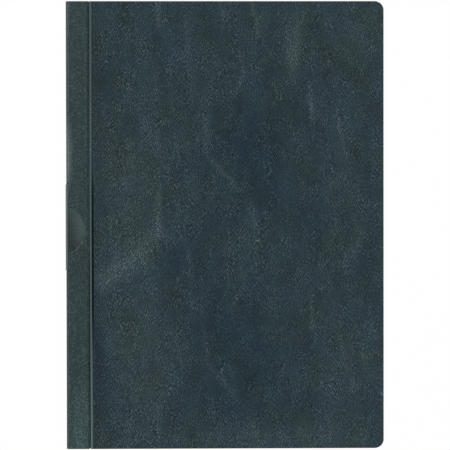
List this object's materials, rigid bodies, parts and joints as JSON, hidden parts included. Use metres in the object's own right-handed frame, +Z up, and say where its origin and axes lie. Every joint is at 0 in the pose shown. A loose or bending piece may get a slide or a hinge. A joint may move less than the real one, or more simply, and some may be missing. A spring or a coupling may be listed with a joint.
{
  "type": "clip folder",
  "caption": "Slim document folder with grained covers and a smooth spine strip, whose bent spring clip swings out through a window to take loose sheets.",
  "frame": {"origin": "middle of the closed folder's outline, on the surface that it lies on", "axes": "+Y along the spine towards the head, +X from the spine to the fore-edge, +Z up out of the front cover"},
  "size_m": [0.2204, 0.31, 0.0061],
  "materials": {
    "cover_pvc": "leather-grained soft sheen",
    "strip_pvc": "smooth satin",
    "clip_steel": "coated spring steel, satin",
    "rivet_steel": "nickelled"
  },
  "bodies": {
    "spine": {"back_cover": "cover_pvc", "spine_strip": "strip_pvc", "pivot_rivet": "rivet_steel", "rivet_washer": "rivet_steel"},
    "cover": {"front_cover": "cover_pvc"},
    "clip": {"clip": "clip_steel"}
  },
  "joints": [
    {"name": "front_cover_hinge", "type": "hinge", "parent": "spine", "child": "cover", "pos_m": [-0.09362, 0, 0.00615], "axis": [0, -1, 0], "range_deg": [0, 180]},
    {"name": "clip_swing", "type": "hinge", "parent": "spine", "child": "clip", "pos_m": [-0.10458, 0.024, 0.0015], "axis": [0, 0, -1], "range_deg": [0, 75]}
  ]
}
